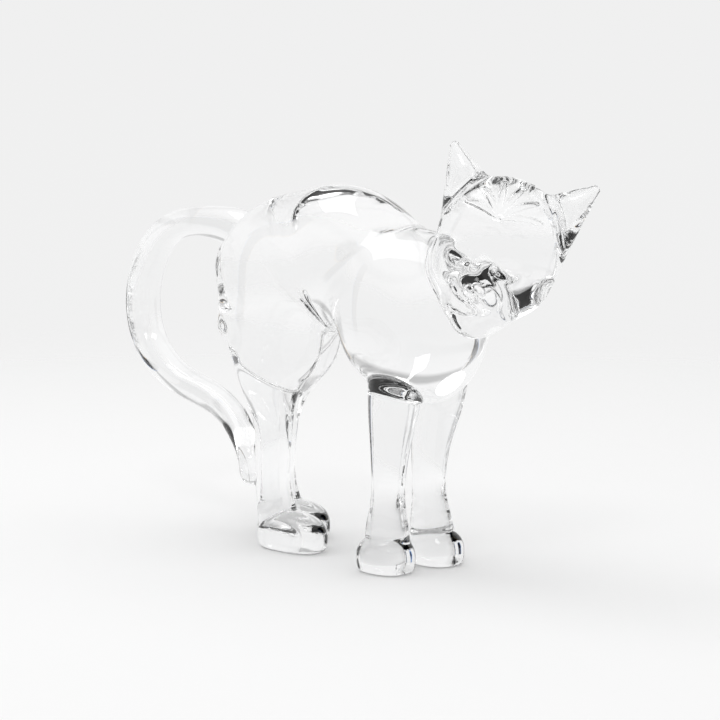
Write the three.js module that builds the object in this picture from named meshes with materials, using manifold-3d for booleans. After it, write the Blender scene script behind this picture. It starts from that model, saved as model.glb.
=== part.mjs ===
// A clear crystal cat with an arched back: its tail loops down to its hind leg and its head turns to its right.
// Millimetres, +Z up, +X the way the body faces, -Y the cat's right. Every form is a loft, a lathe or a scaled
// sphere. The real cat is one mass of glass; here it is parted where its bits of hot glass were fused together.
import * as THREE from "three";
import { mergeVertices } from "three/addons/utils/BufferGeometryUtils.js";
import Module from "manifold-3d";

// ---- Driving dimensions ----
const SEAM_GAP = 0.3; // left between two neighbouring bits
const TORSO_SIDES = 24;
const HEAD_SIDES = 22;
const LIMB_SIDES = 16;
const DOME_STEPS = 4; // rings in the rounded end of a loft

const CHEST = { centre: [35, 0, 96], radii: [24, 21, 32] };
const SHOULDER = { centre: [26, 11, 97], radii: [21, 15, 26] };
const HEAD_CENTRE = [69, 1.5, 121.5];
const HEAD_TURN = { yaw: -62, pitch: 7, roll: -17 }; // degrees: to the cat's right, chin down, its left ear low
const FORE_PAW = { halfLength: 11.5, halfWidth: 9.5, height: 14 };
const HIND_PAW = { halfLength: 16.5, halfWidth: 9.6, height: 15 };
const KNEE = 62; // where the haunches end
const FORE_PAW_AT = [26, 12.2]; // a fore paw's centre: x, and y outwards
const HIND_PAW_X = -30.5;
const FORE_CREASE = 12.2; // the height where a fore paw ends
const HIND_CREASE = { through: [-38.5, 0, 8.5], up: [-0.5, 0, 0.87] }; // slopes up from the heel
const LEFT_FORE_STEP = 2.5; // how far the left fore paw is set forward
const LEFT_HIND_STEP = -19; // the left hind paw is set back
const STEP_FADE = 0.0015; // of that step, lost with each millimetre of height
const RIGHT_HIND_Y = -7.5;
const LEFT_HIND_Y = 11.8;

// Stations are [x, y, z, half width across, half depth].
const BARREL = [
  [-56, 0, 107, 18.5, 20],
  [-46, 0, 112, 21.5, 24.5],
  [-28, 0, 116, 22, 26.3],
  [-9, 0, 116.8, 21.5, 28.3],
  [9, 0, 110.5, 21, 27],
  [24, 0, 100, 21, 24.5],
  [36, 0, 93, 20, 22],
];
const NECK = [
  [28, 0, 101, 17, 17],
  [44, 0, 107, 17, 14.5],
  [58, 0.5, 114, 16, 14.5],
  [69, 1.5, 120, 15, 14],
];
const TAIL = [
  [-56, 0, 121, 9, 9.5],
  [-68, 0, 125, 8.3, 8.6],
  [-82, 0, 127.3, 7.5, 7],
  [-98.5, 0, 127.4, 7.2, 6],
  [-114.5, 0, 122.5, 7.5, 6.1],
  [-126.5, 0, 109.5, 7.9, 6.3],
  [-131, 0, 92.6, 8, 6.4],
  [-127, 0, 76.5, 7.8, 6.4],
  [-117, 0, 66, 7.5, 6.2],
  [-102.5, 0, 59.3, 7.1, 6],
  [-84, -1.5, 54.8, 6.7, 5.8],
  [-70, -4, 49.3, 6.1, 5.5],
  [-59, -8, 42.8, 5.5, 5.2],
  [-52, -10.5, 35.5, 5.2, 5.1],
  [-50, -11, 29, 5.2, 5],
];
const FORELEG = [
  [33, 12, 90, 9.5, 12],
  [31.5, 12.2, 76, 9.8, 11.3],
  [29.5, 11.8, 63, 9.3, 10],
  [27, 10.8, 50, 7.8, 8.2],
  [25.5, 10.3, 36, 6.4, 6.8],
  [25.3, 10.4, 27, 6.4, 6.8],
  [25.5, 10.9, 18, 7.6, 8.2],
  [26, 11.4, 9, 8.4, 9.4],
];
// A hind leg, from its own foot: y outwards.
const HIND_LEG = [
  [-42, 4.5, 106, 12, 24],
  [-38, 5, 93, 13, 27.5],
  [-37.3, 4.5, 83, 12.5, 26],
  [-39, 3.5, 73, 11.5, 19.5],
  [-40.6, 2, 62, 9.5, 13],
  [-41, 0.5, 52, 7.8, 8.9],
  [-41.4, 0, 42, 7, 7.6],
  [-41.8, 0, 32, 6.8, 7.3],
  [-41.3, 0, 22, 6.9, 7.4],
  [-38.5, 0, 11, 7.4, 9.4],
];

const wasm = await Module();
wasm.setup();

// ---- Making solids ----
// A closed geometry as a manifold-3d solid.
function solidOf(geometry) {
  const bare = geometry.index ? geometry.toNonIndexed() : geometry;
  const shape = new THREE.BufferGeometry().setAttribute("position", bare.getAttribute("position"));
  const merged = mergeVertices(shape, 1e-4);
  return new wasm.Manifold(
    new wasm.Mesh({
      numProp: 3,
      vertProperties: merged.attributes.position.array,
      triVerts: new Uint32Array(merged.index.array),
    }),
  );
}

function geometryOf(solid) {
  const mesh = solid.getMesh();
  const geometry = new THREE.BufferGeometry();
  geometry.setAttribute("position", new THREE.BufferAttribute(new Float32Array(mesh.vertProperties), 3));
  geometry.setIndex(new THREE.BufferAttribute(new Uint32Array(mesh.triVerts), 1));
  return geometry;
}

function joined(solids) {
  return solids.reduce((all, one) => all.add(one));
}

// A solid with elliptical sections along a smooth line, its ends rounded off by domes as long as caps says.
function loft(stations, { sides, steps, caps, grow = 0 }) {
  const line = new THREE.CatmullRomCurve3(stations.map(([x, y, z]) => new THREE.Vector3(x, y, z)));
  const sizes = new THREE.CatmullRomCurve3(stations.map((s) => new THREE.Vector3(s[3] + grow, s[4] + grow, 0)));
  const rings = [];
  for (let i = 1; i < DOME_STEPS; i++) rings.push({ t: 0, end: -1, rise: 1 - i / DOME_STEPS });
  for (let i = 0; i <= steps; i++) rings.push({ t: i / steps, end: 0, rise: 0 });
  for (let i = 1; i < DOME_STEPS; i++) rings.push({ t: 1, end: 1, rise: i / DOME_STEPS });

  const across = new THREE.Vector3(0, 1, 0);
  const points = [];
  for (const { t, end, rise } of rings) {
    const along = line.getTangent(t);
    const side = across.clone().addScaledVector(along, -across.dot(along)).normalize();
    const up = new THREE.Vector3().crossVectors(side, along);
    const cap = (end < 0 ? caps[0] : caps[1]) + grow;
    const angle = (rise * Math.PI) / 2;
    const centre = line.getPoint(t).addScaledVector(along, end * cap * Math.sin(angle));
    const size = sizes.getPoint(t).multiplyScalar(Math.cos(angle));
    for (let j = 0; j < sides; j++) {
      const turn = (j / sides) * 2 * Math.PI;
      const point = centre.clone().addScaledVector(side, size.x * Math.cos(turn));
      points.push(point.addScaledVector(up, size.y * Math.sin(turn)));
    }
  }
  const last = (rings.length - 1) * sides;
  const start = points.push(line.getPoint(0).addScaledVector(line.getTangent(0), -caps[0] - grow)) - 1;
  const finish = points.push(line.getPoint(1).addScaledVector(line.getTangent(1), caps[1] + grow)) - 1;
  const triangles = [];
  for (let j = 0; j < sides; j++) {
    const next = (j + 1) % sides;
    triangles.push(start, j, next, finish, last + next, last + j);
    for (let ring = 0; ring < last; ring += sides) {
      triangles.push(ring + j, ring + sides + j, ring + next);
      triangles.push(ring + next, ring + sides + j, ring + sides + next);
    }
  }
  return solidOf(new THREE.BufferGeometry().setFromPoints(points).setIndex(triangles));
}

// An ellipsoid from a scaled sphere, pitched by degrees about Y.
function ellipsoid(centre, radii, sides, { pitch = 0, grow = 0 } = {}) {
  const geometry = new THREE.SphereGeometry(1, sides, Math.round(sides / 2));
  geometry.rotateX(Math.PI / 2).scale(...radii.map((radius) => radius + grow));
  geometry.rotateY(THREE.MathUtils.degToRad(pitch)).translate(...centre);
  return solidOf(geometry);
}

// A paw: a pebble with a flat sole on the ground.
function pebble(x, y, { halfLength, halfWidth, height }) {
  const outline = [
    [0, 0],
    [0.86, 0],
    [0.97, 0.13],
    [1, 0.36],
    [0.97, 0.62],
    [0.82, 0.85],
    [0.5, 0.97],
    [0, 1],
  ];
  const geometry = new THREE.LatheGeometry(outline.map(([r, z]) => new THREE.Vector2(r, z)), LIMB_SIDES);
  geometry.rotateX(Math.PI / 2).scale(halfLength, halfWidth, height).translate(x, y, 0);
  return solidOf(geometry);
}

// ---- The forms ----
function trunk(grow = 0) {
  const barrel = loft(BARREL, { sides: TORSO_SIDES, steps: 18, caps: [17, 16], grow });
  const chest = ellipsoid(CHEST.centre, CHEST.radii, TORSO_SIDES, { grow });
  const neck = loft(NECK, { sides: TORSO_SIDES, steps: 8, caps: [8, 4], grow });
  const shoulders = [1, -1].map((side) => {
    const [x, y, z] = SHOULDER.centre;
    return ellipsoid([x, y * side, z], SHOULDER.radii, LIMB_SIDES + 4, { grow });
  });
  return joined([barrel, chest, neck, ...shoulders]);
}

function tail() {
  return loft(TAIL, { sides: LIMB_SIDES, steps: 36, caps: [4, 5] });
}

// A foreleg on side -1 or 1, its foot set forward by step.
function foreleg(side, step) {
  const top = FORELEG[0][2];
  const stations = FORELEG.map(([x, y, z, w, d]) => [x + step * (1 - z / top), y * side, z, w, d]);
  return loft(stations, { sides: LIMB_SIDES, steps: 16, caps: [5, 4] });
}

// A hind leg whose foot is at y, and is set forward by step: its haunch follows by most of that step.
function hindLeg(footY, step, grow = 0) {
  const side = Math.sign(footY);
  const place = ([x, y, z, w, d]) => [x + step * (1 - z * STEP_FADE), footY + y * side, z, w, d];
  return loft(HIND_LEG.map(place), { sides: LIMB_SIDES, steps: 20, caps: [6, 4], grow });
}

// The head's forms in its own frame: the face looks along +X.
function face(grow = 0) {
  const skull = ellipsoid([-1, 0, 4], [22, 23.6, 24.5], HEAD_SIDES, { grow });
  const cheeks = [1, -1].map((side) => ellipsoid([8, side * 7.5, -6], [14, 15, 13.5], LIMB_SIDES, { grow }));
  const jaw = ellipsoid([10.5, 0, -15], [14, 13.5, 13], LIMB_SIDES, { grow });
  const muzzle = ellipsoid([18, 0, -12], [9.5, 10, 8], LIMB_SIDES, { pitch: 14, grow });
  const chin = ellipsoid([12.5, 0, -22], [8.5, 7.5, 7.5], LIMB_SIDES, { grow });
  return joined([skull, ...cheeks, jaw, muzzle, chin]);
}

// A pointed ear with its hollow to the front.
function ear(side) {
  const blade = loft(
    [
      [-2, side * 13, 10, 11, 8],
      [-3, side * 17, 17.5, 9.4, 6.4],
      [-4, side * 21, 24, 6.6, 4.6],
      [-5, side * 25, 29.5, 3.6, 2.8],
      [-5.6, side * 27, 32.3, 1.8, 1.6],
    ],
    { sides: LIMB_SIDES, steps: 10, caps: [5, 1.5] },
  );
  const hollow = ellipsoid([4.5, side * 19, 21.5], [5.5, 4.6, 8.5], LIMB_SIDES);
  return blade.subtract(hollow);
}

// ---- Placing the head ----
const pose = new THREE.Group();
pose.position.set(...HEAD_CENTRE);
pose.rotation.order = "ZYX";
const turns = [HEAD_TURN.roll, HEAD_TURN.pitch, HEAD_TURN.yaw].map(THREE.MathUtils.degToRad);
pose.rotation.set(...turns);
pose.updateMatrix();
const placed = (solid) => solid.transform(pose.matrix.toArray());

// ---- Parting the bits ----
// The two sides of a solid about a plane, a seam's gap apart: [beyond it, short of it].
function parted(solid, point, normal) {
  const unit = new THREE.Vector3(...normal).normalize();
  const offset = unit.dot(new THREE.Vector3(...point));
  const back = unit.clone().negate();
  return [
    solid.trimByPlane(unit.toArray(), offset + SEAM_GAP / 2),
    solid.trimByPlane(back.toArray(), SEAM_GAP / 2 - offset),
  ];
}

function forelimb(side, step) {
  const seam = [[0, 0, FORE_CREASE], [0, 0, 1]];
  const [leg] = parted(foreleg(side, step).subtract(trunk(SEAM_GAP)), ...seam);
  const [x, y] = FORE_PAW_AT;
  const [, paw] = parted(pebble(x + step, y * side, FORE_PAW), ...seam);
  return { leg, paw };
}

function hindLimb(footY, step) {
  const [haunch, lower] = parted(hindLeg(footY, step), [0, 0, KNEE], [0, 0, 1]);
  const [x, y, z] = HIND_CREASE.through;
  const crease = [[x + step, y, z], HIND_CREASE.up];
  const [leg] = parted(lower, ...crease);
  const [, paw] = parted(pebble(HIND_PAW_X + step, footY, HIND_PAW), ...crease);
  return { haunch, leg, paw };
}

const foreRight = forelimb(-1, 0);
const foreLeft = forelimb(1, LEFT_FORE_STEP);
const hindRight = hindLimb(RIGHT_HIND_Y, 0);
const hindLeft = hindLimb(LEFT_HIND_Y, LEFT_HIND_STEP);
const torso = joined([trunk(), hindRight.haunch, hindLeft.haunch]);
const aroundBody = joined([
  trunk(SEAM_GAP),
  hindLeg(RIGHT_HIND_Y, 0, SEAM_GAP),
  hindLeg(LEFT_HIND_Y, LEFT_HIND_STEP, SEAM_GAP),
]);

const bits = {
  torso: torso.subtract(placed(face(SEAM_GAP))),
  head: placed(face()),
  right_ear: placed(ear(-1).subtract(face(SEAM_GAP))),
  left_ear: placed(ear(1).subtract(face(SEAM_GAP))),
  tail: tail().subtract(aroundBody),
  right_foreleg: foreRight.leg,
  left_foreleg: foreLeft.leg,
  right_hind_leg: hindRight.leg,
  left_hind_leg: hindLeft.leg,
  right_fore_paw: foreRight.paw,
  left_fore_paw: foreLeft.paw,
  right_hind_paw: hindRight.paw,
  left_hind_paw: hindLeft.paw,
};

// ---- The group, with its origin under the middle of the whole figure ----
const group = new THREE.Group();
for (const [name, bit] of Object.entries(bits)) {
  const crystal = new THREE.MeshStandardMaterial({ color: 0xf4f8fa, roughness: 0.03, metalness: 0 });
  const mesh = new THREE.Mesh(geometryOf(bit), crystal);
  mesh.name = name;
  group.add(mesh);
}
const box = new THREE.Box3().setFromObject(group);
const middle = box.getCenter(new THREE.Vector3());
for (const mesh of group.children) mesh.geometry.translate(-middle.x, -middle.y, -box.min.z);

export default group;
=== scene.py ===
"""A clear crystal cat with an arched back, sculpted as one smooth form and parted into its fused bits.

The sculpture is a distance field in millimetres, made of the CAD's stations and some of its own: its forms
melt into each other where hot glass would. One mesh is drawn round the field, cut at the seams, and each bit
is closed again. Fused glass has nothing to see at a seam, so the closing faces have a clear material.
"""

import math

import bmesh
import bpy
import numpy as np
from mathutils import Euler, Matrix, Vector


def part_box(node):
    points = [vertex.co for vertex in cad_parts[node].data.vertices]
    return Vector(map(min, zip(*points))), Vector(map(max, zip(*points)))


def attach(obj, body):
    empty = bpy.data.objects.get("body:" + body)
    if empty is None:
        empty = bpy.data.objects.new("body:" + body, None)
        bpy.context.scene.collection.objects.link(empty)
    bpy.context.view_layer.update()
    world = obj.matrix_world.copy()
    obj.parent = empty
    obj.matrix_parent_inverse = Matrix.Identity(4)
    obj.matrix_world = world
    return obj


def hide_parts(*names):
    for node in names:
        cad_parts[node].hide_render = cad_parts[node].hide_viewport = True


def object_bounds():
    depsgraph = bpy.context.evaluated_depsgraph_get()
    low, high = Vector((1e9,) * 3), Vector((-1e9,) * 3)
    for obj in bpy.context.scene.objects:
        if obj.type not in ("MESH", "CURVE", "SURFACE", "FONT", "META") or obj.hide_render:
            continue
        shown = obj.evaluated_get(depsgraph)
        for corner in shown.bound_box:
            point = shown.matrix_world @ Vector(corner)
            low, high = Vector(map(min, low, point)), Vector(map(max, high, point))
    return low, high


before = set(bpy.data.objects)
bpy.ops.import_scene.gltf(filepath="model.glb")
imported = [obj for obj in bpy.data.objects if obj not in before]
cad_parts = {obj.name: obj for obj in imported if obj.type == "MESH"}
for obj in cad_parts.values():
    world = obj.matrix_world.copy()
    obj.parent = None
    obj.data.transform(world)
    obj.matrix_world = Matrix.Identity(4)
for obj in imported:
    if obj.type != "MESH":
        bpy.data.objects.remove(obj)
cad_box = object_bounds()

MM = 0.001
CELL = 0.8  # mm, the mesh's grain
COARSE = 4  # fine cells along one coarse cell
FAR = 60.0  # mm, stands for "nowhere near"
NEAR = 14.0  # mm, how far past its own box a form is measured
HEAD_REACH = 50.0  # mm, how far round its centre the head is measured
LEAST_SLOPE = 0.2  # below this a slope is too flat to divide by
SEARCH_STEPS = 4  # to find the nearest place along a limb

# ---- Where the sculpture's own millimetres lie in the frame ----
FORE_PAW_AT = (26.0, 12.2)  # the right fore paw's centre, in the sculpture: x, and y to the right
low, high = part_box("right_fore_paw")
ORIGIN = np.array(
    [
        (low[0] + high[0]) / 2 / MM - FORE_PAW_AT[0],
        (low[1] + high[1]) / 2 / MM + FORE_PAW_AT[1],
        0.0,
    ]
)

# ---- Stations: x, y, z, half width across, half depth ----
BARREL = [
    (-56, 0, 107, 18.5, 20),
    (-46, 0, 112, 21.5, 24.5),
    (-28, 0, 116, 22, 26.3),
    (-9, 0, 116.8, 21.5, 28.3),
    (9, 0, 110.5, 21, 27),
    (24, 0, 100, 21, 24.5),
    (36, 0, 93, 20, 22),
]
NECK = [
    (28, 0, 101, 17, 17),
    (44, 0, 107, 17, 14.5),
    (58, 0.5, 114, 16, 14.5),
    (69, 1.5, 120, 15, 14),
]
TAIL = [
    (-56, 0, 121, 9, 9.5),
    (-68, 0, 125, 8.3, 8.6),
    (-82, 0, 127.3, 7.5, 7),
    (-98.5, 0, 127.4, 7.2, 6),
    (-114.5, 0, 122.5, 7.5, 6.1),
    (-126.5, 0, 109.5, 7.9, 6.3),
    (-131, 0, 92.6, 8, 6.4),
    (-127, 0, 76.5, 7.8, 6.4),
    (-117, 0, 66, 7.5, 6.2),
    (-102.5, 0, 59.3, 7.1, 6),
    (-84, -1.5, 54.8, 6.7, 5.8),
    (-70, -4, 49.3, 6.1, 5.5),
    (-59, -8, 42.8, 5.5, 5.2),
    (-52, -10.5, 35.5, 5.2, 5.1),
    (-50, -11, 29, 5.2, 5),
]
FORELEG = [  # y outwards
    (33, 12, 90, 9.5, 12),
    (31.5, 12.2, 76, 9.8, 11.3),
    (29.5, 11.8, 63, 9.3, 10),
    (27, 10.8, 50, 7.8, 8.2),
    (25.5, 10.3, 36, 6.4, 6.8),
    (25.3, 10.4, 27, 6.4, 6.8),
    (25.5, 10.9, 18, 7.6, 8.2),
    (26, 11.4, 9, 8.4, 9.4),
]
HIND_LEG = [  # y outwards from its own foot
    (-46, 2.5, 121, 8, 19),
    (-42, 4.5, 107, 11.5, 24),
    (-38, 5, 93, 13, 27.5),
    (-37.3, 4.5, 83, 12.5, 26),
    (-39, 3.5, 73, 11.5, 19.5),
    (-40.6, 2, 62, 9.5, 13),
    (-41, 0.5, 52, 7.8, 8.9),
    (-41.4, 0, 42, 7, 7.6),
    (-41.8, 0, 32, 6.8, 7.3),
    (-41.3, 0, 22, 6.9, 7.4),
    (-38.5, 0, 11, 7.4, 9.4),
]
CHEST = ((35, 0, 96), (24, 21, 32))  # centre and radii
SHOULDER = ((26, 11, 97), (21, 15, 26))
APRON = ((30, 0, 88), (22, 24.3, 16), 25)  # the lower edge over the forelegs, with its pitch in degrees
RUMP_WEB = [  # between the two haunches
    (-40, 0.5, 104, 17, 22),
    (-41, 2, 92, 15, 24),
    (-43, 2.4, 82, 11, 17),
    (-45, 2.4, 75, 6, 10),
]
HEAD_CENTRE = np.array([69, 1.5, 121.5])
HEAD_TURN = Euler([math.radians(a) for a in (-17, 7, -62)], "XYZ")  # roll, pitch, yaw
FORE_PAW = (11.5, 9.5, 14.0)  # half length, half width and height
HIND_PAW = (16.5, 9.3, 15.0)
HIND_PAW_X = -30.5
HIND_FEET = {"right": (-7.5, 0.0), "left": (12.3, -19.0)}  # y, and the step forward
LEFT_FORE_STEP = 2.5
STEP_FADE = 0.0015  # of a hind leg's step, lost with each millimetre of height
LEFT_HAUNCH_TRIM = 7.0  # how much less the left haunch stands out behind the body
TRIM_FROM = 55  # the height where that trim starts
TRIM_RISE = 40  # and the further height that it takes to reach its whole
PAW_MIDDLE = 0.36  # where a paw is widest, as a share of its height
PAW_SQUARENESS = 2.5  # 2 would be an ellipsoid

# ---- Fillets, in mm: how wide each join melts, and how far an edge is rounded ----
TRUNK_FILLET = 12
NECK_FILLET = 14
HAUNCH_FILLET = ((45, 75, 100, 115), (0.4, 5, 5, 11))  # heights, and the fillet at each
TAIL_FILLET = 2.4
FORELEG_FILLET = 2.2
PAW_FILLET = 1.4
NAPE_FILLET = 3
CHEEK_FILLET = 9
MUZZLE_FILLET = 5
MUZZLE_ROOT = 6
NOSE_FILLET = 2.4
EAR_ROOT = 5
SOCKET_EDGE = 3
FOLD_EDGE = 1.2
HOLLOW_EDGE = 1.6
PAW_SOLE_EDGE = 1.6
GROUND_EDGE = 0.8


# ---- The distance field ----
def natural_spline(knots, values):
    """Coefficients of the smooth curve through values: four for each stretch, highest power last."""
    gaps = np.diff(knots)[:, None]
    rise = np.diff(values, axis=0) / gaps
    count = len(knots)
    system = np.eye(count)
    target = np.zeros_like(values)
    for i in range(1, count - 1):
        before, after = gaps[i - 1, 0], gaps[i, 0]
        system[i, i - 1 : i + 2] = before, 2 * (before + after), after
        target[i] = 6 * (rise[i] - rise[i - 1])
    bend = np.linalg.solve(system, target)
    slope = rise - gaps * (2 * bend[:-1] + bend[1:]) / 6
    return np.stack([values[:-1], slope, bend[:-1] / 2, np.diff(bend, axis=0) / (6 * gaps)], 1)


def round_distance(parts, radii):
    """How far a point is outside an ellipsoid, near enough: parts are its coordinates along the axes."""
    inner = sum((p / r) ** 2 for p, r in zip(parts, radii))
    outer = sum((p / r**2) ** 2 for p, r in zip(parts, radii))
    size = np.sqrt(inner)
    return size * (size - 1) / np.sqrt(np.maximum(outer, 1e-12))


class Limb:
    """Elliptical sections along a smooth line, its two ends rounded off by domes as long as caps says."""

    def __init__(self, stations, caps):
        values = np.array(stations, float)
        self.knots = np.r_[0, np.cumsum(np.linalg.norm(np.diff(values[:, :3], axis=0), axis=1))]
        self.coefficients = natural_spline(self.knots, values)
        self.caps = caps
        self.tries = np.linspace(0, self.knots[-1], 5 * len(values))
        self.line = self.at(self.tries)[0][:, :3]
        reach = values[:, 3:].max() + max(caps)
        self.low = values[:, :3].min(0) - reach
        self.high = values[:, :3].max(0) + reach

    def at(self, t):
        """Place and section at t, with the place's first and second derivatives."""
        piece = np.clip(np.searchsorted(self.knots, t, "right") - 1, 0, len(self.knots) - 2)
        u = (t - self.knots[piece])[:, None]
        a, b, c, d = np.moveaxis(self.coefficients[piece], 1, 0)
        value = a + u * (b + u * (c + u * d))
        first = (b + u * (2 * c + 3 * u * d))[:, :3]
        second = (2 * c + 6 * u * d)[:, :3]
        return value, first, second

    def distance(self, p):
        gap = (self.line**2).sum(1)[None] - 2 * p @ self.line.T
        t = self.tries[gap.argmin(1)]
        for _ in range(SEARCH_STEPS):
            value, first, second = self.at(t)
            off = value[:, :3] - p
            slope = (first**2).sum(1) + (off * second).sum(1)
            step = (off * first).sum(1) / np.maximum(slope, LEAST_SLOPE)
            t = np.clip(t - step, 0, self.knots[-1])
        value, along, _ = self.at(t)
        along = along / np.linalg.norm(along, axis=1, keepdims=True)
        side = np.array([0.0, 1.0, 0.0]) - along[:, 1:2] * along
        side /= np.linalg.norm(side, axis=1, keepdims=True)
        up = np.cross(side, along)
        off = p - value[:, :3]
        beyond = (off * along).sum(1)
        cap = np.where(beyond < 0, self.caps[0], self.caps[1])
        parts = ((off * side).sum(1), (off * up).sum(1), beyond)
        return round_distance(parts, (value[:, 3], value[:, 4], cap))


class Egg:
    """An ellipsoid, pitched about Y by degrees."""

    def __init__(self, centre, radii, pitch=0.0):
        self.centre = np.array(centre, float)
        self.radii = radii
        c, s = math.cos(math.radians(pitch)), math.sin(math.radians(pitch))
        self.axes = np.array([[c, 0, -s], [0, 1, 0], [s, 0, c]])
        self.low = self.centre - max(radii)
        self.high = self.centre + max(radii)

    def distance(self, p):
        return round_distance(((p - self.centre) @ self.axes.T).T, self.radii)


class Pebble:
    """A paw: a rounded block on a flat sole."""

    def __init__(self, x, y, size):
        self.centre = np.array([x, y, size[2] * PAW_MIDDLE])
        self.radii = (size[0], size[1], size[2] * (1 - PAW_MIDDLE))
        self.low = self.centre - max(size)
        self.high = self.centre + max(size)

    def distance(self, p):
        off = np.abs(p - self.centre) / self.radii
        size = (off**PAW_SQUARENESS).sum(1) ** (1 / PAW_SQUARENESS)
        return carved((size - 1) * min(self.radii), p[:, 2], PAW_SOLE_EDGE)


def melted(a, b, k):
    """Two forms joined with a fillet k wide."""
    near = np.clip(1 - np.abs(a - b) / k, 0, None)
    return np.minimum(a, b) - near**3 * k / 6


def carved(a, b, k):
    """Form a without form b, its new edge rounded by k."""
    return -melted(-a, b, k)


def measured(form, p):
    """form's distance at p, worked out only near it."""
    d = np.full(len(p), FAR)
    near = ((p > form.low - NEAR) & (p < form.high + NEAR)).all(1)
    if near.any():
        d[near] = form.distance(p[near])
    return d


def all_melted(forms, p, k):
    """The distance to all the forms together, each melted into the others."""
    d = measured(forms[0], p)
    for form in forms[1:]:
        d = melted(d, measured(form, p), k)
    return d


def mirrored(make):
    """What make gives for the right side, -1, and the left, 1."""
    return [make(side) for side in (-1, 1)]


def fore_step(side):
    """How far forward that fore paw is set."""
    return LEFT_FORE_STEP if side > 0 else 0.0


def foreleg(side):
    top = FORELEG[0][2]
    step = fore_step(side)
    return Limb([(x + step * (1 - z / top), y * side, z, w, d) for x, y, z, w, d in FORELEG], (5, 4))


def hind_leg(side):
    foot, step = HIND_FEET["right" if side < 0 else "left"]
    place = []
    for x, y, z, w, d in HIND_LEG:
        high = min(max((z - TRIM_FROM) / TRIM_RISE, 0), 1) if side > 0 else 0
        trim = LEFT_HAUNCH_TRIM * high * high * (3 - 2 * high)
        place.append((x + step * (1 - z * STEP_FADE) + trim, foot + y * side * (1 - high), z, w, d - trim))
    return Limb(place, (6, 4))


TRUNK = [Limb(BARREL, (17, 16)), Egg(*CHEST), Egg(*APRON), Limb(RUMP_WEB, (6, 4))]
TRUNK += mirrored(lambda s: Egg((SHOULDER[0][0], SHOULDER[0][1] * s, SHOULDER[0][2]), SHOULDER[1]))
NECK_LIMB = Limb(NECK, (8, 4))
TAIL_LIMB = Limb(TAIL, (4, 5))
FORELEGS = mirrored(foreleg)
HIND_LEGS = mirrored(hind_leg)
FORE_PAWS = mirrored(lambda s: Pebble(FORE_PAW_AT[0] + fore_step(s), FORE_PAW_AT[1] * s, FORE_PAW))
HIND_PAWS = [Pebble(HIND_PAW_X + step, foot, HIND_PAW) for foot, step in HIND_FEET.values()]

# The head's own frame: the face looks along +X.
FACE = [
    Egg((-1, 0, 4), (22, 23.4, 24.3)),
    Egg((8, -7.5, -6), (14, 14.6, 13)),
    Egg((8, 7.5, -6), (14, 14.6, 13)),
    Egg((10.5, 0, -15), (14, 13, 12.6)),
    Egg((12.5, 0, -21.6), (8.5, 7.2, 7.2)),
]
MUZZLE = [Egg((19, 0, -10.5), (9.5, 9, 7.5), 12), Egg((18.5, 0, -4), (5, 3.6, 6.5), -25)]
NOSE = Egg((27.6, 0, -8.6), (2.1, 3, 1.9))
EYE_SOCKETS = mirrored(lambda s: Egg((21.6, 9.4 * s, 1), (2.6, 5.4, 3)))
EARS = mirrored(
    lambda s: Limb(
        [
            (-2, 13 * s, 10, 11, 8),
            (-3, 17 * s, 17.5, 9.4, 6.4),
            (-4, 21 * s, 24, 6.6, 4.6),
            (-5, 25 * s, 29.5, 3.6, 2.8),
            (-5.6, 27 * s, 32.3, 1.8, 1.6),
        ],
        (5, 1.5),
    )
)
SKULL = FACE[0]
FOREHEAD = 32  # degrees up the skull, where the crown's folds start
FOLD_REACH = 42  # degrees that the middle folds run over the skull
FOLD_SPREAD = 15.0  # mm that the outer folds run out sideways
FOLD_ANGLES = (-70, -42, -14, 14, 42, 70)
FOLD_STEPS = (0.1, 0.4, 0.7, 1)  # a fold's stations, as shares of its length
FOLD_HALF = 0.4  # mm, half a fold's width where it begins
FOLD_SWELL = 0.8  # mm, what that gains in the middle
FOLD_TAPER = 0.85


def crown_fold(angle):
    """A shallow groove over the skull, from the forehead out between the ears."""
    stations = []
    for share in FOLD_STEPS:
        rise = math.radians(FOREHEAD + share * FOLD_REACH * math.cos(math.radians(angle)))
        y = share * FOLD_SPREAD * math.sin(math.radians(angle))
        level = math.sqrt(1 - (y / SKULL.radii[1]) ** 2)
        x = SKULL.centre[0] + SKULL.radii[0] * level * math.cos(rise)
        z = SKULL.centre[2] + SKULL.radii[2] * level * math.sin(rise)
        half = FOLD_HALF + FOLD_SWELL * math.sin(math.pi * share * FOLD_TAPER)
        stations.append((x, y, z, half, half))
    return Limb(stations, (1, 1))


CROWN_FOLDS = [crown_fold(angle) for angle in FOLD_ANGLES]
EAR_HOLLOWS = mirrored(lambda s: Egg((4.5, 19.4 * s, 21.5), (5.6, 4.4, 8)))
HEAD_MATRIX = np.array(HEAD_TURN.to_matrix())


def head_distance(p):
    """How far p is outside the head and ears."""
    q = (p - HEAD_CENTRE) @ HEAD_MATRIX
    d = all_melted(FACE, q, CHEEK_FILLET)
    d = melted(d, all_melted(MUZZLE, q, MUZZLE_FILLET), MUZZLE_ROOT)
    d = melted(d, measured(NOSE, q), NOSE_FILLET)
    for socket in EYE_SOCKETS:
        d = carved(d, measured(socket, q), SOCKET_EDGE)
    for fold in CROWN_FOLDS:
        d = carved(d, measured(fold, q), FOLD_EDGE)
    for ear, hollow in zip(EARS, EAR_HOLLOWS):
        blade = carved(measured(ear, q), measured(hollow, q), HOLLOW_EDGE)
        d = melted(d, blade, EAR_ROOT)
    return d


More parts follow.
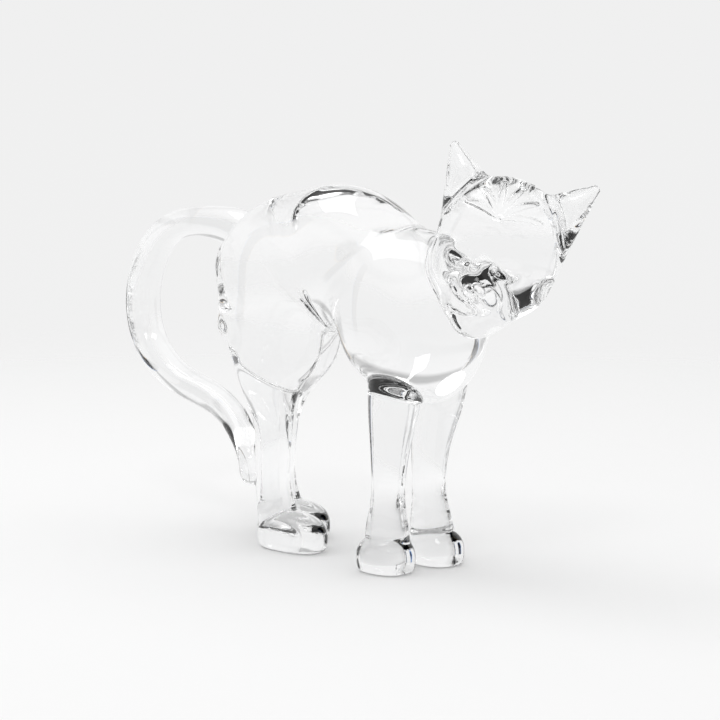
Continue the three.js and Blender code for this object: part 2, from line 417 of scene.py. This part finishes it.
def field(p):
    """How far p is outside the whole cat, in millimetres."""
    body = all_melted(TRUNK, p, TRUNK_FILLET)
    body = melted(body, measured(NECK_LIMB, p), NECK_FILLET)
    haunch = np.interp(p[:, 2], *HAUNCH_FILLET)
    for leg, paw in zip(HIND_LEGS, HIND_PAWS):
        limb = melted(measured(leg, p), measured(paw, p), PAW_FILLET)
        body = melted(body, limb, haunch)
    body = melted(body, measured(TAIL_LIMB, p), TAIL_FILLET)
    for leg, paw in zip(FORELEGS, FORE_PAWS):
        limb = melted(measured(leg, p), measured(paw, p), PAW_FILLET)
        body = melted(body, limb, FORELEG_FILLET)
    head = np.full(len(p), FAR)
    near = (np.abs(p - HEAD_CENTRE) < HEAD_REACH).all(1)
    if near.any():
        head[near] = head_distance(p[near])
    body = melted(body, head, NAPE_FILLET)
    return carved(body, p[:, 2], GROUND_EDGE)


# ---- Drawing a mesh round the field ----
SLOPE_STEP = 0.05  # mm, to each side of a point where its slope is taken
CROSSING_REACH = 1.15  # coarse cells: nearer to its middle than this, the surface may cross a cell
BATCHES = 24  # the fine grid is worked out in parts, to spare memory
SETTLING_STEPS = 3
MARGIN = 4.0  # mm, round the CAD's box


def gradient(p):
    """The field's slope at p, which points out of the glass."""
    parts = []
    for axis in np.eye(3) * SLOPE_STEP:
        parts.append((field(p + axis) - field(p - axis)) / (2 * SLOPE_STEP))
    return np.stack(parts, 1)


def sampled(low, shape):
    """The field on a fine grid, worked out only in the coarse cells that the surface may cross."""
    size = CELL * COARSE
    coarse_shape = [math.ceil(n / COARSE) + 1 for n in shape]
    corners = np.stack(np.meshgrid(*[np.arange(n) for n in coarse_shape], indexing="ij"), -1).reshape(-1, 3)
    middle = field(low + (corners + 0.5) * size)
    grid = np.repeat(middle.reshape(coarse_shape), COARSE, 0)
    grid = np.repeat(np.repeat(grid, COARSE, 1), COARSE, 2)
    near = corners[np.abs(middle) < size * CROSSING_REACH]
    offsets = np.stack(np.meshgrid(*[np.arange(COARSE)] * 3, indexing="ij"), -1).reshape(-1, 3)
    cells = (near[:, None] * COARSE + offsets[None]).reshape(-1, 3)
    batches = np.array_split(cells, BATCHES)
    grid[tuple(cells.T)] = np.concatenate([field(low + batch * CELL) for batch in batches])
    return grid


def surface(low, grid):
    """Vertices and quads of a surface net round the grid's zero."""
    inside = grid < 0
    corners = [np.array(c) for c in np.ndindex(2, 2, 2)]
    shape = np.array(grid.shape) - 1
    window = [inside[tuple(slice(o, o + n) for o, n in zip(c, shape))] for c in corners]
    total = sum(w.astype(np.int8) for w in window)
    cells = np.argwhere((total > 0) & (total < 8))
    index = np.full(shape, -1)
    index[tuple(cells.T)] = np.arange(len(cells))
    place = np.zeros((len(cells), 3))
    count = np.zeros(len(cells))
    for axis in range(3):
        for c in corners:
            if c[axis]:
                continue
            a = grid[tuple((cells + c).T)]
            end = c.copy()
            end[axis] = 1
            b = grid[tuple((cells + end).T)]
            crossed = (a < 0) != (b < 0)
            where = np.zeros((len(cells), 3)) + c
            where[crossed, axis] = (a / (a - b + 1e-30))[crossed]
            place[crossed] += where[crossed]
            count += crossed
    points = low + (cells + place / count[:, None]) * CELL
    quads = []
    for axis in range(3):
        others = [(axis + 1) % 3, (axis + 2) % 3]
        first = [slice(None)] * 3
        second = [slice(None)] * 3
        first[axis] = slice(0, -1)
        second[axis] = slice(1, None)
        changed = np.argwhere(inside[tuple(first)] != inside[tuple(second)])
        keep = (changed[:, others] > 0).all(1) & (changed < shape).all(1)
        changed = changed[keep]
        corner = []
        for u, v in ((-1, -1), (0, -1), (0, 0), (-1, 0)):
            at = changed.copy()
            at[:, others[0]] += u
            at[:, others[1]] += v
            corner.append(index[tuple(at.T)])
        quad = np.stack(corner, 1)
        outward = inside[tuple(changed.T)]
        quad[~outward] = quad[~outward][:, ::-1]
        quads.append(quad)
    return points, np.concatenate(quads)


box_low = np.array(cad_box[0]) / MM - ORIGIN - MARGIN
box_high = np.array(cad_box[1]) / MM - ORIGIN + MARGIN
grid_shape = np.ceil((box_high - box_low) / CELL).astype(int)
points, quads = surface(box_low, sampled(box_low, grid_shape))
for _ in range(SETTLING_STEPS):
    slope = gradient(points)
    points -= (field(points) / np.maximum((slope**2).sum(1), LEAST_SLOPE))[:, None] * slope
points[:, 2] = np.maximum(points[:, 2], 0.0)


# ---- Parting the mesh at the seams ----
ON_SEAM = 0.002  # mm, how near a corner is to a seam that it lies on


def head_point(x, y, z):
    """A point of the head's own frame, in the sculpture."""
    return HEAD_MATRIX @ np.array([x, y, z]) + HEAD_CENTRE


# Each seam: a point on it, its normal, and how far round that point it cuts.
LEVEL = (0, 0, 1)
SEAMS = [
    ((56, 0.3, 113), (0.9, 0.03, 0.43), 30),  # neck
    ((-77, 0, 126.5), (-0.98, 0, 0.17), 14),  # the tail's root
    ((-56.5, -9.2, 40), (0.66, -0.25, -0.7), 9.5),  # the tail's tip, on the right hind leg
]
for side in (-1, 1):
    step = fore_step(side)
    ear_normal = HEAD_MATRIX @ np.array([-0.1, 0.53 * side, 0.84])
    SEAMS.append((head_point(-3, 18 * side, 23), ear_normal, 16))
    SEAMS.append(((29 + step, 11.8 * side, 59.5), LEVEL, 13.5))  # the foreleg's top
    SEAMS.append(((26 + step, 12 * side, 12.2), LEVEL, 14.5))  # the fore paw
for foot, step in HIND_FEET.values():
    knee = (-40.6 + 0.85 * step, foot + math.copysign(1.5, foot), 62.2)
    SEAMS.append((knee, LEVEL, 17))
    SEAMS.append(((-36 + step, foot, 10), (-0.5, 0, 0.87), 19))  # the hind paw


def cut_along(bm, seams):
    """Cuts the mesh at each seam, and gives the edges that lie on one."""
    for centre, normal, reach in seams:
        faces = [f for f in bm.faces if (f.calc_center_median() - centre).length < reach]
        parts = {v for f in faces for v in f.verts} | {e for f in faces for e in f.edges}
        bmesh.ops.bisect_plane(bm, geom=[*parts, *faces], dist=ON_SEAM / 2, plane_co=centre, plane_no=normal)
    cuts = set()
    for centre, normal, reach in seams:
        on = {
            v
            for v in bm.verts
            if abs((v.co - centre).dot(normal)) < ON_SEAM and (v.co - centre).length < reach + CELL
        }
        for edge in {e for v in on for e in v.link_edges if e.other_vert(v) in on}:
            sides = [(f.calc_center_median() - centre).dot(normal) > 0 for f in edge.link_faces]
            if sides[0] != sides[-1]:
                cuts.add(edge)
    return cuts


def bits_between(bm, cuts):
    """Lists of faces that no cut parts."""
    bm.faces.index_update()
    seen = np.zeros(len(bm.faces), bool)
    bits = []
    for start in bm.faces:
        if seen[start.index]:
            continue
        seen[start.index] = True
        bit = [start]
        for face in bit:
            for edge in face.edges:
                if edge in cuts:
                    continue
                for other in edge.link_faces:
                    if not seen[other.index]:
                        seen[other.index] = True
                        bit.append(other)
        bits.append(bit)
    return bits


def closed_mesh(name, bit):
    """A mesh of one bit, with its open ends filled by faces of the second material."""
    bm = bmesh.new()
    index = {}
    for face in bit:
        for v in face.verts:
            if v not in index:
                index[v] = bm.verts.new(v.co)
    for face in bit:
        bm.faces.new([index[v] for v in face.verts])
    bm.normal_update()
    rim = [e for e in bm.edges if e.is_boundary]
    fill = bmesh.ops.holes_fill(bm, edges=rim, sides=0)["faces"]
    for face in bmesh.ops.poke(bm, faces=fill)["faces"]:
        face.material_index = 1
    bmesh.ops.recalc_face_normals(bm, faces=bm.faces)
    mesh = bpy.data.meshes.new(name)
    bm.to_mesh(mesh)
    bm.free()
    return mesh


def polished(mesh):
    """Smooth shading from the distance field itself, so that a seam can't be seen, and the frame's metres."""
    count = len(mesh.vertices)
    place = np.empty(count * 3)
    mesh.vertices.foreach_get("co", place)
    place = place.reshape(-1, 3)
    normal = gradient(place)
    normal /= np.maximum(np.linalg.norm(normal, axis=1, keepdims=True), 1e-6)
    mesh.vertices.foreach_set("co", ((place + ORIGIN) * MM).ravel())
    mesh.update()
    corner = np.empty(len(mesh.loops), int)
    mesh.loops.foreach_get("vertex_index", corner)
    loops = normal[corner]
    for face in mesh.polygons:
        if face.material_index:
            loops[face.loop_start : face.loop_start + face.loop_total] = face.normal
    mesh.shade_smooth()
    mesh.normals_split_custom_set(loops.tolist())


# ---- Materials ----
def new_material(name):
    """A material with an empty node tree, its nodes and its links."""
    material = bpy.data.materials.new(name)
    material.use_nodes = True
    nodes = material.node_tree.nodes
    nodes.clear()
    return material, nodes, material.node_tree.links


def crystal_material():
    """Clear, fire-polished crystal: faint cords in the melt, and the slight swell of glass worked hot."""
    material, nodes, links = new_material("clear_crystal")
    out = nodes.new("ShaderNodeOutputMaterial")
    glass = nodes.new("ShaderNodeBsdfPrincipled")
    glass.inputs["Transmission Weight"].default_value = 1.0
    glass.inputs["Roughness"].default_value = 0.0
    glass.inputs["IOR"].default_value = 1.545
    place = nodes.new("ShaderNodeTexCoord")
    cords = nodes.new("ShaderNodeTexNoise")
    cords.inputs["Scale"].default_value = 30
    cords.inputs["Detail"].default_value = 3
    cords.inputs["Distortion"].default_value = 1.5
    tint = nodes.new("ShaderNodeValToRGB")
    tint.color_ramp.elements[0].color = (0.988, 0.992, 0.995, 1)
    tint.color_ramp.elements[1].color = (1, 1, 1, 1)
    swell = nodes.new("ShaderNodeTexNoise")
    swell.inputs["Scale"].default_value = 22
    swell.inputs["Detail"].default_value = 1
    bump = nodes.new("ShaderNodeBump")
    bump.inputs["Strength"].default_value = 0.25
    bump.inputs["Distance"].default_value = 0.0006
    links.new(place.outputs["Object"], cords.inputs["Vector"])
    links.new(place.outputs["Object"], swell.inputs["Vector"])
    links.new(cords.outputs["Fac"], tint.inputs["Fac"])
    links.new(tint.outputs["Color"], glass.inputs["Base Color"])
    links.new(swell.outputs["Fac"], bump.inputs["Height"])
    links.new(bump.outputs["Normal"], glass.inputs["Normal"])
    links.new(glass.outputs["BSDF"], out.inputs["Surface"])
    return material


def seam_material():
    """The inside faces where two bits are fused: nothing to see."""
    material, nodes, links = new_material("fused_seam")
    out = nodes.new("ShaderNodeOutputMaterial")
    clear = nodes.new("ShaderNodeBsdfTransparent")
    links.new(clear.outputs["BSDF"], out.inputs["Surface"])
    return material


def floor_material():
    """Pale matt paper that fades into the studio's light far from the object."""
    material, nodes, links = new_material("floor")
    out = nodes.new("ShaderNodeOutputMaterial")
    mix = nodes.new("ShaderNodeMixShader")
    paper = nodes.new("ShaderNodeBsdfDiffuse")
    paper.inputs["Color"].default_value = (0.96, 0.96, 0.96, 1)
    clear = nodes.new("ShaderNodeBsdfTransparent")
    place = nodes.new("ShaderNodeTexCoord")
    length = nodes.new("ShaderNodeVectorMath")
    length.operation = "LENGTH"
    fade = nodes.new("ShaderNodeMapRange")
    fade.interpolation_type = "SMOOTHSTEP"
    fade.inputs["From Min"].default_value = 0.1
    fade.inputs["From Max"].default_value = 1.0
    links.new(place.outputs["Object"], length.inputs[0])
    links.new(length.outputs["Value"], fade.inputs["Value"])
    links.new(fade.outputs["Result"], mix.inputs["Fac"])
    links.new(paper.outputs["BSDF"], mix.inputs[1])
    links.new(clear.outputs["BSDF"], mix.inputs[2])
    links.new(mix.outputs["Shader"], out.inputs["Surface"])
    return material


# ---- The pieces ----
SAME_POINT = 0.004  # mm: corners closer than this are merged
mesh = bpy.data.meshes.new("whole")
mesh.from_pydata(points.tolist(), [], quads.tolist())
whole = bmesh.new()
whole.from_mesh(mesh)
bpy.data.meshes.remove(mesh)
bmesh.ops.remove_doubles(whole, verts=whole.verts, dist=SAME_POINT)
seams = [(Vector(centre), Vector(normal).normalized(), reach) for centre, normal, reach in SEAMS]
bits = bits_between(whole, cut_along(whole, seams))
crystal = crystal_material()
seam = seam_material()
if len(bits) != len(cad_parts):
    raise RuntimeError(f"the seams part the cat into {len(bits)} bits")
node_middles = {
    name: np.array([(a + b) / 2 for a, b in zip(*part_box(name))]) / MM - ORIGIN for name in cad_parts
}
for bit in bits:
    corners_of_bit = np.array([f.calc_center_median() for f in bit])
    middle = (corners_of_bit.min(0) + corners_of_bit.max(0)) / 2
    node = min(node_middles, key=lambda name: np.linalg.norm(node_middles[name] - middle))
    node_middles.pop(node)
    mesh = closed_mesh("crystal_" + node, bit)
    polished(mesh)
    mesh.materials.append(crystal)
    mesh.materials.append(seam)
    piece = bpy.data.objects.new("crystal_" + node, mesh)
    bpy.context.scene.collection.objects.link(piece)
    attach(piece, "root")
    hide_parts(node)
whole.free()

# ---- Floor, light and camera ----
FLOOR_SIDE = 12.0
FLOOR_DROP = 0.0002
AIM_HEIGHT = 77.3  # mm, what the camera and the lights point at
CAMERA_LENS = 110  # mm, on a sensor 36 mm wide
CAMERA_PLACE = (45, 6.5, 0.85)  # azimuth, elevation and metres
CARD_HEIGHT = 1.3
CARD_ELEVATION = 12
CARD_DISTANCE = 1.5
CARD_PLACES = [(-54, 0.28), (150, 0.48)]  # azimuth and width
CARD_BORDERS = (0.05, 0.95)  # where a card's dark middle starts and ends, as shares of its width
AIM = Vector((ORIGIN + np.array([0, 0, AIM_HEIGHT])) * MM)


def add_sheet(name, width, height, materials, edges=()):
    """An upright sheet in its own XY plane; edges are the shares of its width where its materials change."""
    stops = [0, *edges, 1]
    verts = [((t - 0.5) * width, y * height / 2, 0) for t in stops for y in (-1, 1)]
    faces = [(2 * i, 2 * i + 2, 2 * i + 3, 2 * i + 1) for i in range(len(stops) - 1)]
    mesh = bpy.data.meshes.new(name)
    mesh.from_pydata(verts, [], faces)
    for i, material in enumerate(materials):
        mesh.materials.append(material)
        mesh.polygons[i].material_index = i
    sheet = bpy.data.objects.new(name, mesh)
    bpy.context.scene.collection.objects.link(sheet)
    return sheet


def glow(name, colour):
    """A material that gives off that colour and nothing else."""
    material, nodes, links = new_material(name)
    out = nodes.new("ShaderNodeOutputMaterial")
    light = nodes.new("ShaderNodeEmission")
    light.inputs["Color"].default_value = (*colour, 1)
    links.new(light.outputs["Emission"], out.inputs["Surface"])
    return material


def direction(azimuth, elevation):
    """From the object towards a place at that azimuth and elevation, in degrees. Azimuth 0 is at -Y."""
    a, e = math.radians(azimuth), math.radians(elevation)
    return Vector((math.sin(a) * math.cos(e), -math.cos(a) * math.cos(e), math.sin(e)))


def stand(thing, azimuth, elevation, distance):
    """Puts thing at that direction from the object, with its +Z towards the outside."""
    out = direction(azimuth, elevation)
    thing.location = AIM + out * distance
    thing.rotation_euler = out.to_track_quat("Z", "Y").to_euler()


floor = add_sheet("floor", FLOOR_SIDE, FLOOR_SIDE, [floor_material()])
floor.location.z = -FLOOR_DROP

# Dark cards at the sides draw the edges of clear glass. Their coloured borders stand in for the fringes of
# heavy crystal.
dark = glow("card_dark", (0.02, 0.02, 0.025))
amber = glow("card_amber", (0.85, 0.6, 0.3))
blue = glow("card_blue", (0.25, 0.45, 0.9))
for number, (azimuth, width) in enumerate(CARD_PLACES):
    card = add_sheet(f"card_{number}", width, CARD_HEIGHT, [blue, dark, amber], CARD_BORDERS)
    stand(card, azimuth, CARD_ELEVATION, CARD_DISTANCE)
    card.visible_camera = False
    card.visible_diffuse = False
    card.visible_shadow = False

# Each softbox: name, width, height, watts, azimuth, elevation and distance.
SOFTBOXES = [("key", 0.9, 0.6, 2.8, -75, 60, 1.4), ("window", 0.3, 0.2, 1.0, 34, 43, 1.2)]
for name, width, height, watts, *place in SOFTBOXES:
    softbox_data = bpy.data.lights.new(name, "AREA")
    softbox_data.shape = "RECTANGLE"
    softbox_data.size, softbox_data.size_y = width, height
    softbox_data.energy = watts
    softbox = bpy.data.objects.new(name, softbox_data)
    bpy.context.scene.collection.objects.link(softbox)
    stand(softbox, *place)

# The studio's light by height: z of the direction, and brightness, with a dim band overhead.
SKY = [
    (-1, 0.93),
    (-0.14, 0.88),
    (0.05, 0.87),
    (0.25, 0.9),
    (0.45, 0.93),
    (0.52, 0.5),
    (0.6, 0.5),
    (0.68, 0.93),
]
world = bpy.data.worlds.new("studio")
bpy.context.scene.world = world
world.use_nodes = True
nodes, links = world.node_tree.nodes, world.node_tree.links
place = nodes.new("ShaderNodeTexCoord")
split = nodes.new("ShaderNodeSeparateXYZ")
level = nodes.new("ShaderNodeMapRange")
level.inputs["From Min"].default_value = -1
ramp = nodes.new("ShaderNodeValToRGB")
stops = ramp.color_ramp.elements
for z, value in SKY[1:-1]:
    stops.new((z + 1) / 2)
for stop, (z, value) in zip(stops, SKY):
    stop.position = (z + 1) / 2
    stop.color = (value, value, value, 1)
links.new(place.outputs["Generated"], split.inputs["Vector"])
links.new(split.outputs["Z"], level.inputs["Value"])
links.new(level.outputs["Result"], ramp.inputs["Fac"])
links.new(ramp.outputs["Color"], nodes["Background"].inputs["Color"])

camera_data = bpy.data.cameras.new("camera")
camera_data.lens = CAMERA_LENS
camera_data.sensor_width = 36
camera = bpy.data.objects.new("camera", camera_data)
bpy.context.scene.collection.objects.link(camera)
stand(camera, *CAMERA_PLACE)
bpy.context.scene.camera = camera

scene = bpy.context.scene
scene.view_settings.view_transform = "Standard"
scene.cycles.max_bounces = 24
scene.cycles.transmission_bounces = 24
scene.cycles.glossy_bounces = 6
scene.cycles.transparent_max_bounces = 32
